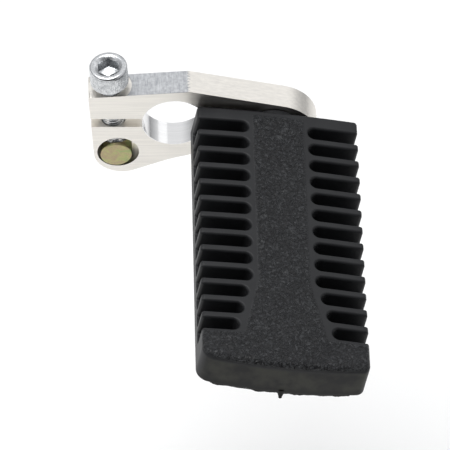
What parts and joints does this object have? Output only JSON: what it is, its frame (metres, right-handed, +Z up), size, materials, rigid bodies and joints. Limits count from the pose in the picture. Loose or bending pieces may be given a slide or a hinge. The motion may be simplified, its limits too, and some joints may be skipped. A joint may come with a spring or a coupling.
{
  "type": "foot peg",
  "caption": "Clamp-on motorcycle foot peg: a split aluminium lever plate with a socket screw and cross nut, carrying a ribbed rubber tread over a steel core.",
  "frame": {"origin": "middle of the 22 mm clamp bore, on its axis and half-way through the plate", "axes": "+Z up, square to the tread's top; +Y along the clamp bore and away from the tread's free end; +X across the tread, from the clamp towards the arm's round end"},
  "size_m": [0.0956, 0.126, 0.0496],
  "materials": {
    "plate": "satin, finely milled faces and brushed edges",
    "screw": "bright zinc plate with a knurled head",
    "nut": "yellow zinc passivate",
    "tread": "moulded black rubber, leather-like grain between smooth ribs",
    "core": "bare rolled and turned steel",
    "small_hardware": "bright zinc plate"
  },
  "bodies": {
    "bracket": {"clamp_bracket": "plate", "barrel_nut": "nut"},
    "clamp_screw": {"clamp_screw": "screw"},
    "peg": {"tread_pad": "tread", "core_plate": "core", "core_boss": "core", "toothed_washer": "small_hardware"},
    "peg_screw": {"peg_screw": "small_hardware"}
  },
  "joints": [
    {"name": "clamp_screw_travel", "type": "slide", "parent": "bracket", "child": "clamp_screw", "axis": [-0.2385, 0, 0.9711], "range_m": [-0.0026, 0.004]},
    {"name": "peg_swivel", "type": "hinge", "parent": "bracket", "child": "peg", "pos_m": [0.03385, -0.00485, 0.0026], "axis": [0, 1, 0], "range_deg": [-20, 25]},
    {"name": "peg_screw_turn", "type": "hinge", "parent": "bracket", "child": "peg_screw", "pos_m": [0.03385, 0.00485, 0.0026], "axis": [0, 1, 0], "range_deg": [-90, 90]}
  ]
}
